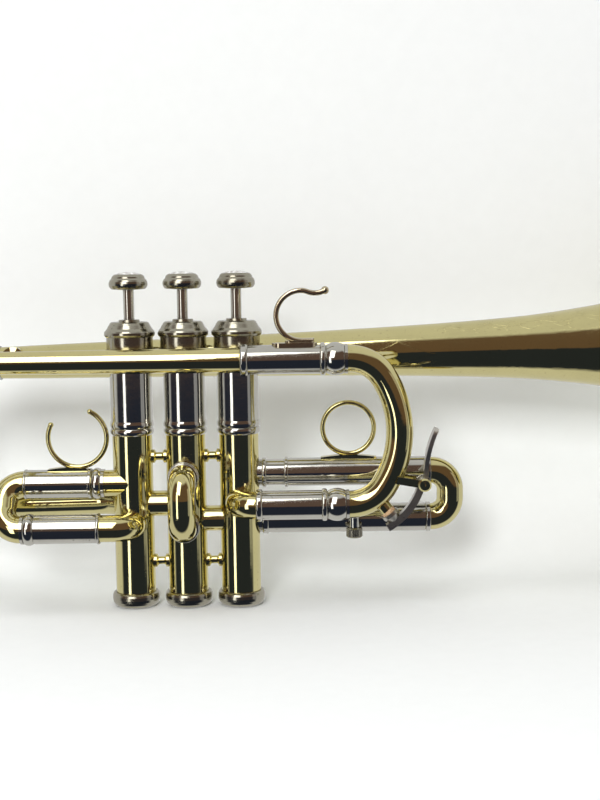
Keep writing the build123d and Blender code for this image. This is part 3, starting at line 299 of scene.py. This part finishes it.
def pearl(name):
    material, tree, shader = new_material(name)
    point = object_point(tree)
    veil = add_node(tree, "ShaderNodeTexWave", {
        "Vector": point, "Scale": 90, "Distortion": 9, "Detail": 3, "Detail Scale": 1.4}).outputs["Fac"]
    lustre = ((0.0, (0.52, 0.50, 0.45)), (0.45, (0.68, 0.67, 0.62)), (1.0, (0.80, 0.80, 0.78)))
    tree.links.new(ramp(tree, veil, lustre), shader.inputs["Base Color"])
    tree.links.new(spread(tree, veil, 0, 1, 0.16, 0.28), shader.inputs["Roughness"])
    shader.inputs["Coat Weight"].default_value = 0.6
    shader.inputs["Coat Roughness"].default_value = 0.06
    shader.inputs["Sheen Weight"].default_value = 0.15
    bump = add_node(tree, "ShaderNodeBump", {"Height": veil, "Strength": 0.05, "Distance": 0.0003})
    tree.links.new(bump.outputs[0], shader.inputs["Normal"])
    return material


def steel(name, color, rough):
    material, tree, shader = new_material(name)
    shader.inputs["Metallic"].default_value = 1.0
    point = object_point(tree)
    cloud = noise(tree, point, 260, 4, 0.6)
    tree.links.new(ramp(tree, cloud, ((0.3, scaled(color, 0.7)), (0.6, color))), shader.inputs["Base Color"])
    tree.links.new(spread(tree, cloud, 0.3, 0.7, rough[1], rough[0]), shader.inputs["Roughness"])
    bands = noise(tree, object_point(tree, (300, 300, 9000)), 1.0, 2)
    bump = add_node(tree, "ShaderNodeBump", {"Height": bands, "Strength": 0.12, "Distance": 0.00005})
    tree.links.new(bump.outputs[0], shader.inputs["Normal"])
    return material


def felt(name):
    material, tree, shader = new_material(name)
    point = object_point(tree)
    fibres = noise(tree, point, 2600, 5, 0.75)
    matted = noise(tree, point, 320, 3)
    tone = ramp(tree, fibres, (
        (0.25, (0.035, 0.032, 0.030)), (0.5, (0.10, 0.095, 0.09)), (0.8, (0.21, 0.20, 0.19))))
    tree.links.new(blend_color(tree, spread(tree, matted, 0.4, 0.7, 0, 0.35), tone, (0.15, 0.14, 0.12, 1)),
                   shader.inputs["Base Color"])
    tree.links.new(spread(tree, fibres, 0.2, 0.8, 0.98, 0.86), shader.inputs["Roughness"])
    shader.inputs["Sheen Weight"].default_value = 0.5
    shader.inputs["Sheen Roughness"].default_value = 0.5
    bump = add_node(tree, "ShaderNodeBump", {"Height": fibres, "Strength": 0.7, "Distance": 0.0003})
    tree.links.new(bump.outputs[0], shader.inputs["Normal"])
    return material


def cork(name):
    material, tree, shader = new_material(name)
    point = object_point(tree)
    cells = add_node(tree, "ShaderNodeTexVoronoi", {"Vector": point, "Scale": 1500}).outputs["Distance"]
    pores = noise(tree, point, 700, 4, 0.7)
    tone = ramp(tree, cells, (
        (0.05, (0.30, 0.17, 0.08)), (0.5, (0.52, 0.34, 0.19)), (0.9, (0.62, 0.44, 0.27))))
    tree.links.new(blend_color(tree, spread(tree, pores, 0.60, 0.70, 0, 0.85), tone, (0.10, 0.05, 0.025, 1)),
                   shader.inputs["Base Color"])
    tree.links.new(spread(tree, pores, 0.3, 0.7, 0.75, 0.95), shader.inputs["Roughness"])
    bump = add_node(tree, "ShaderNodeBump", {"Height": math_node(tree, "SUBTRACT", cells, pores),
                                            "Strength": 0.5, "Distance": 0.0003})
    tree.links.new(bump.outputs[0], shader.inputs["Normal"])
    return material


def moulded(name):
    material, tree, shader = new_material(name)
    point = object_point(tree)
    cloud = noise(tree, point, 180, 4)
    tree.links.new(ramp(tree, cloud, ((0.3, (0.66, 0.64, 0.58)), (0.7, (0.78, 0.77, 0.72)))),
                   shader.inputs["Base Color"])
    tree.links.new(spread(tree, cloud, 0.3, 0.7, 0.38, 0.5), shader.inputs["Roughness"])
    bump = add_node(tree, "ShaderNodeBump", {"Height": noise(tree, point, 1800, 2), "Strength": 0.1,
                                            "Distance": 0.0001})
    tree.links.new(bump.outputs[0], shader.inputs["Normal"])
    return material


# Dark colours shared by the grime spots and by the painted shade in joints and hollows.
GRIME_AND_SHADE = (0.16, 0.115, 0.045)
NICKEL_GRIME_AND_SHADE = (0.15, 0.135, 0.095)
brass = metal("lacquered_brass", BRASS, scaled(BRASS, 0.93), GRIME_AND_SHADE, (0.035, 0.085), 0.25, coat=0.15)
spun_brass = metal("spun_brass", BRASS, scaled(BRASS, 0.93), GRIME_AND_SHADE, (0.045, 0.10), 0.25, (2600, 60, 60), 0.05,
                   coat=0.15)
drawn_brass = metal("casing_brass", BRASS, scaled(BRASS, 0.92), GRIME_AND_SHADE, (0.045, 0.10), 0.3, (60, 60, 3400), 0.05,
                    coat=0.15)
nickel = metal("nickel_silver", NICKEL, scaled(NICKEL, 0.90), NICKEL_GRIME_AND_SHADE, (0.05, 0.13), 0.35)
drawn_nickel = metal("drawn_nickel", NICKEL, scaled(NICKEL, 0.90), NICKEL_GRIME_AND_SHADE, (0.05, 0.12), 0.35,
                     (2400, 80, 80), 0.05)
aged_nickel = metal("handled_nickel", (0.47, 0.445, 0.355), (0.37, 0.345, 0.26), NICKEL_GRIME_AND_SHADE, (0.13, 0.24), 0.5,
                    (80, 80, 4200), 0.03)
warm_nickel = metal("worn_plate", (0.70, 0.62, 0.46), (0.66, 0.55, 0.34), NICKEL_GRIME_AND_SHADE, (0.06, 0.15), 0.4)
satin_nickel = metal("satin_nickel", (0.64, 0.62, 0.55), (0.50, 0.48, 0.41), NICKEL_GRIME_AND_SHADE, (0.24, 0.38), 0.4)
monel = metal("lapped_monel", (0.62, 0.61, 0.57), (0.54, 0.53, 0.49), (0.20, 0.19, 0.16), (0.10, 0.2), 0.1,
              (80, 80, 7000), 0.1)

by_slot = {
    "brass": brass,
    "nickel": nickel,
    "piston_metal": monel,
    "inlay": pearl("pearl_inlay"),
    "felt": felt("pressed_felt"),
    "cork": cork("natural_cork"),
    "spring_steel": steel("spring_wire", (0.58, 0.57, 0.54), (0.12, 0.26)),
    "guide_plastic": moulded("moulded_guide"),
}
by_node = {
    "bell_flare": spun_brass, "bell_stem": spun_brass,
    "valve_casing_1": drawn_brass, "valve_casing_2": drawn_brass, "valve_casing_3": drawn_brass,
    "tuning_outer_tubes": drawn_nickel, "tuning_inner_tubes": drawn_nickel, "third_fixed_tubes": drawn_nickel,
    "third_moving_tubes": drawn_nickel, "first_moving_tubes": drawn_nickel, "mouthpiece_receiver": drawn_nickel,
    "top_valve_caps": aged_nickel, "bottom_valve_caps": aged_nickel, "valve_balusters": nickel,
    "button_1": aged_nickel, "button_2": aged_nickel, "button_3": aged_nickel,
    "lock_screw": aged_nickel,
    "pinky_hook": warm_nickel, "water_key_lever": satin_nickel,
}
slot_of = {row["node"]: row["material_slot"] for row in frame["record"]["subparts"]}
for name, piece in nodes.items():
    piece.data.materials.clear()
    piece.data.materials.append(by_node.get(name, by_slot[slot_of[name]]))

# ---------------------------------------------------------------- soft pieces made here

AROUND = 48
SKIN_GAP = 0.00005


def place(piece, body, slot, material):
    bpy.context.scene.collection.objects.link(piece)
    for face in piece.data.polygons:
        face.use_smooth = True
    piece.data.materials.append(material)
    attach(piece, body)


def lathe(mesh, foot, axis, outline, wobble, seed):
    """A turned soft shape: outline lists (radius, height); wobble is how far its skin strays."""
    random.seed(seed)
    side = axis.orthogonal().normalized()
    other = axis.cross(side)
    rows = []
    phase = random.uniform(0, 6.28)
    for radius, height in outline:
        row = []
        for step in range(AROUND):
            turn = 2 * math.pi * step / AROUND
            stray = wobble * (0.6 * math.sin(3 * turn + phase) + 0.4 * random.uniform(-1, 1))
            out = (radius + stray) * (math.cos(turn) * side + math.sin(turn) * other)
            row.append(mesh.verts.new(foot + out + axis * height))
        rows.append(row)
    for low_row, high_row in zip(rows, rows[1:]):
        for step in range(AROUND):
            nxt = (step + 1) % AROUND
            mesh.faces.new((low_row[step], low_row[nxt], high_row[nxt], high_row[step]))
    return rows


def close_ring(mesh, rows):
    for step in range(AROUND):
        nxt = (step + 1) % AROUND
        mesh.faces.new((rows[-1][step], rows[-1][nxt], rows[0][nxt], rows[0][step]))


def washer_outline(inner, outer, height, crown):
    return ((inner, crown), (inner, height - crown), (inner + crown, height), (outer - crown, height),
            (outer - 0.3 * crown, height - 0.3 * crown), (outer + 0.2 * crown, 0.5 * height),
            (outer - 0.3 * crown, 0.3 * crown), (outer - crown, 0), (inner + crown, 0))


def make_felts(number):
    """The two felt washers of one valve: under the button and inside the top cap."""
    low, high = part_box(f"valve_felts_{number}")
    centre = (low + high) / 2
    up = Vector((0, 0, 1))
    mesh = bmesh.new()
    for foot_z, height, outer in ((high.z - 0.0022, 0.0022, 0.0052), (low.z, 0.0021, 0.0059)):
        outline = washer_outline(0.0027, outer, height - 0.0001, 0.0005)
        foot = Vector((centre.x, centre.y, foot_z + SKIN_GAP))
        close_ring(mesh, lathe(mesh, foot, up, outline, 0.00004, 10 * number))
    bmesh.ops.recalc_face_normals(mesh, faces=mesh.faces)
    data = bpy.data.meshes.new(f"felt_washers_{number}")
    mesh.to_mesh(data)
    mesh.free()
    piece = bpy.data.objects.new(f"felt_washers_{number}", data)
    place(piece, f"piston_{number}", "felt", by_slot["felt"])
    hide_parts(f"valve_felts_{number}")


def make_cork():
    """The water key's cork plug, a crowned disc cut from bark."""
    points = [vertex.co for vertex in nodes["water_key_cork"].data.vertices]
    low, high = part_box("water_key_cork")
    axis = Vector((math.sqrt(0.5), 0, -math.sqrt(0.5)))
    middle = (low + high) / 2
    radius = (high.y - low.y) / 2 - SKIN_GAP
    height = max((point - middle).dot(axis) for point in points) * 2
    mesh = bmesh.new()
    outline = ((radius * 0.90, 0), (radius * 0.985, 0.00012), (radius, 0.0004), (radius * 0.995, height * 0.5),
               (radius, height - 0.0004), (radius * 0.985, height - 0.00012), (radius * 0.90, height))
    rows = lathe(mesh, middle - axis * height / 2, axis, outline, 0.00003, 7)
    mesh.faces.new(list(reversed(rows[0])))
    mesh.faces.new(rows[-1])
    bmesh.ops.recalc_face_normals(mesh, faces=mesh.faces)
    data = bpy.data.meshes.new("cork_plug")
    mesh.to_mesh(data)
    mesh.free()
    piece = bpy.data.objects.new("cork_plug", data)
    place(piece, "water_key", "cork", by_slot["cork"])
    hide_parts("water_key_cork")


for valve in (1, 2, 3):
    make_felts(valve)
make_cork()

# ---------------------------------------------------------------- engraving on the bell

ENGRAVING_X = 0.160
ENGRAVING_ANGLE = math.radians(52)
ENGRAVING_LENGTH = 0.086
UNROLL_RADIUS = 0.020
BURR_WIDTH, BURR_HEIGHT = 0.00011, 0.00005
SEARCH_REACH = 0.08

def bell_surface():
    """A search tree over the bell's skin."""
    verts, faces = [], []
    for name in ("bell_flare", "bell_stem"):
        mesh = nodes[name].data
        offset = len(verts)
        verts += [vertex.co.copy() for vertex in mesh.vertices]
        faces += [[offset + index for index in polygon.vertices] for polygon in mesh.polygons]
    return BVHTree.FromPolygons(verts, faces)


def bell_ends():
    """The middle of the bell's rim and of the narrow end of its stem."""
    rim_low, rim_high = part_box("bell_rim_wire")
    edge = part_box("bell_stem")[0].x + 0.002
    neck = [vertex.co for vertex in nodes["bell_stem"].data.vertices if vertex.co.x < edge]
    return sum(neck, Vector()) / len(neck), (rim_low + rim_high) / 2


def scroll(start, turn, size, hand, steps=26):
    """A leaf scroll in the unrolled plane: it runs out and curls in at its tip."""
    points, here, heading = [Vector(start)], Vector(start), turn
    for step in range(steps):
        part = step / (steps - 1)
        heading += hand * (0.03 + 0.42 * part * part)
        here = here + size * (1.15 - part) * 0.09 * Vector((math.cos(heading), math.sin(heading)))
        points.append(here.copy())
    return points


def leaf(start, turn, size, steps=9):
    """A small pointed leaf drawn as one closed stroke."""
    forward = Vector((math.cos(turn), math.sin(turn)))
    across = Vector((-forward.y, forward.x))
    upper = [Vector(start) + forward * size * s / steps + across * size * 0.22 * math.sin(math.pi * s / steps)
             for s in range(steps + 1)]
    lower = [Vector(start) + forward * size * s / steps - across * size * 0.22 * math.sin(math.pi * s / steps)
             for s in range(steps - 1, -1, -1)]
    return upper + lower


def engraving_strokes():
    random.seed(11)
    strokes = []
    vine = [Vector((ENGRAVING_LENGTH * (s / 60 - 0.5), 0.0016 * math.sin(s * 0.42))) for s in range(61)]
    strokes.append(vine)
    for number in range(11):
        at = vine[3 + number * 5]
        hand = 1 if number % 2 else -1
        size = 0.0064 * (0.8 + 0.5 * number / 10)
        strokes.append(scroll(at, hand * -0.9 + random.uniform(-0.1, 0.1), size, hand))
        strokes.append(scroll(at, hand * 1.5, size * 0.7, -hand))
        for spray in (-0.5, 0.1, 0.7):
            strokes.append(leaf(at, hand * 1.0 + spray, size * (0.42 + 0.1 * spray)))
    return strokes


def make_engraving():
    """Cut strokes on the bell: thin raised burrs that catch the light, as a hand graver leaves them."""
    tree = bell_surface()
    start, rim = bell_ends()
    mesh = bmesh.new()
    for stroke in engraving_strokes():
        rows = []
        for index, spot in enumerate(stroke):
            before, after = stroke[max(0, index - 1)], stroke[min(len(stroke) - 1, index + 1)]
            run = (after - before).normalized()
            swell = 0.45 + 0.55 * math.sin(math.pi * index / (len(stroke) - 1))
            row = []
            for side, lift in ((-1, -0.5), (0, 1.0), (1, -0.5)):
                flat = spot + side * BURR_WIDTH * swell * Vector((-run.y, run.x))
                x = ENGRAVING_X + flat.x
                axis = start.lerp(rim, (x - start.x) / (rim.x - start.x))
                angle = ENGRAVING_ANGLE + flat.y / UNROLL_RADIUS
                out = Vector((0, -math.cos(angle), math.sin(angle)))
                hit, normal, _, _ = tree.ray_cast(axis + out * SEARCH_REACH, -out, SEARCH_REACH)
                row.append(mesh.verts.new(hit + normal * BURR_HEIGHT * lift * swell))
            rows.append(row)
        for first, second in zip(rows, rows[1:]):
            for a, b in ((0, 1), (1, 2), (2, 0)):
                mesh.faces.new((first[a], first[b], second[b], second[a]))
        mesh.faces.new(list(reversed(rows[0])))
        mesh.faces.new(rows[-1])
    bmesh.ops.recalc_face_normals(mesh, faces=mesh.faces)
    data = bpy.data.meshes.new("bell_engraving")
    mesh.to_mesh(data)
    mesh.free()
    piece = bpy.data.objects.new("bell_engraving", data)
    place(piece, "instrument_body", "brass", metal(
        "cut_brass", scaled(BRASS, 1.1), scaled(BRASS, 0.8), GRIME_AND_SHADE, (0.12, 0.26), 0.3))


make_engraving()

# ---------------------------------------------------------------- finish

bpy.context.view_layer.update()
